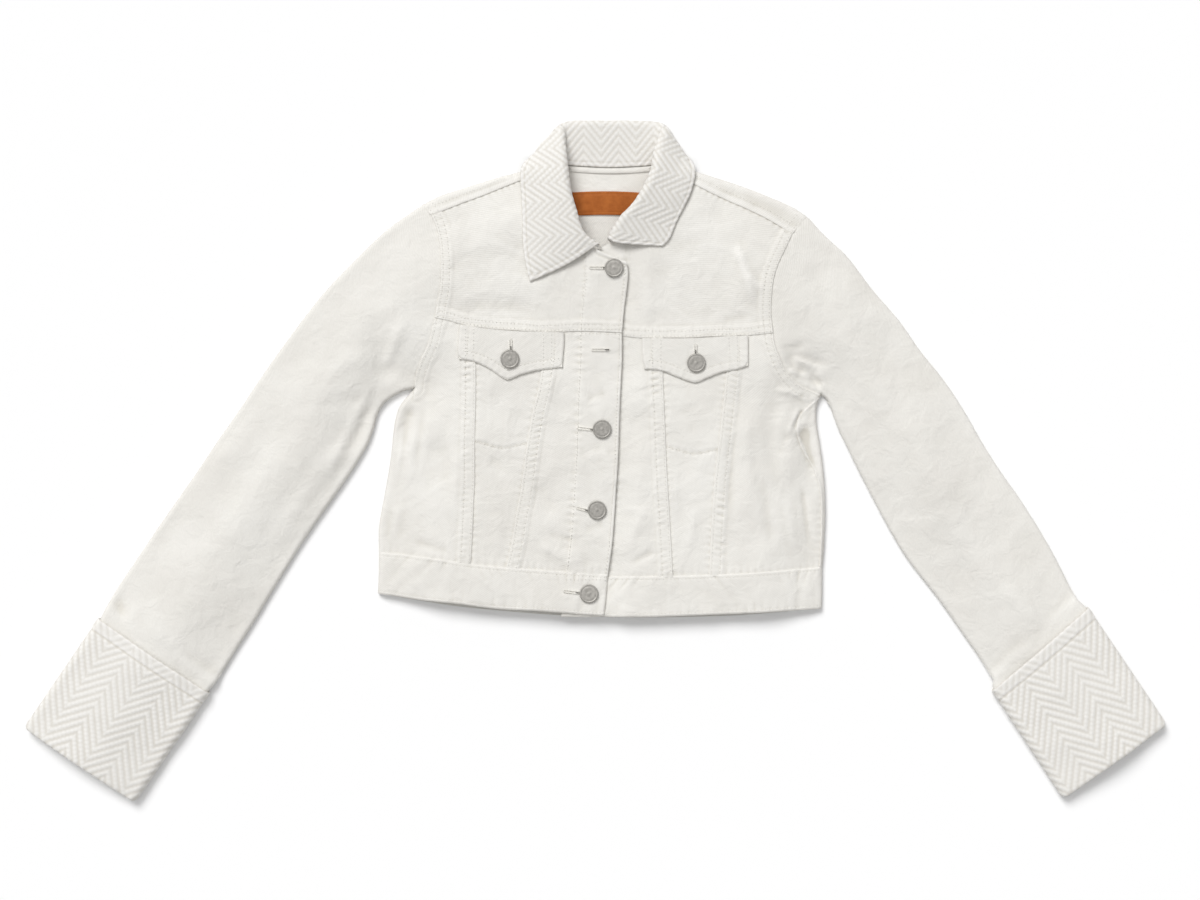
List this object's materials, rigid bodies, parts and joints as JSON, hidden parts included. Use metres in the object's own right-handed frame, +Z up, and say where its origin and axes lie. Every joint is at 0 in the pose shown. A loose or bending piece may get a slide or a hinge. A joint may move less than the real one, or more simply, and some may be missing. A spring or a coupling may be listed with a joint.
{
  "type": "denim jacket",
  "caption": "Cropped denim jacket laid flat on its back, buttoned, with a folded wool collar, turned-up herringbone cuffs, pointed pocket flaps and a waistband.",
  "frame": {"origin": "middle of the underside of the laid-out jacket's box, on the surface it lies on", "axes": "+X from the wearer's right sleeve to the left one, +Y from the hem to the collar, +Z up from the surface"},
  "size_m": [1.1446, 0.6838, 0.0302],
  "materials": {
    "white_denim": "matte twill",
    "herringbone": "matte wool herringbone",
    "leather": "satin",
    "button_metal": "antique nickel"
  },
  "bodies": {
    "root": {"back_yoke": "white_denim", "back_centre": "white_denim", "back_side_left": "white_denim", "back_side_right": "white_denim", "waistband_back": "white_denim", "waistband_front_left": "white_denim", "waistband_front_right": "white_denim", "yoke_front_left": "white_denim", "yoke_front_right": "white_denim", "front_side_left": "white_denim", "front_side_right": "white_denim", "front_pocket_left": "white_denim", "front_pocket_right": "white_denim", "front_centre_left": "white_denim", "front_centre_right": "white_denim", "flap_left": "white_denim", "flap_right": "white_denim", "sleeve_upper_left": "white_denim", "sleeve_upper_right": "white_denim", "sleeve_under_left": "white_denim", "sleeve_under_right": "white_denim", "neck_binding": "white_denim", "cuff_left": "herringbone", "cuff_right": "herringbone", "collar": "herringbone", "neck_label": "leather", "button_neck": "button_metal", "button_placket_upper": "button_metal", "button_placket_lower": "button_metal", "button_waistband": "button_metal", "button_flap_right": "button_metal", "button_flap_left": "button_metal"}
  },
  "joints": []
}
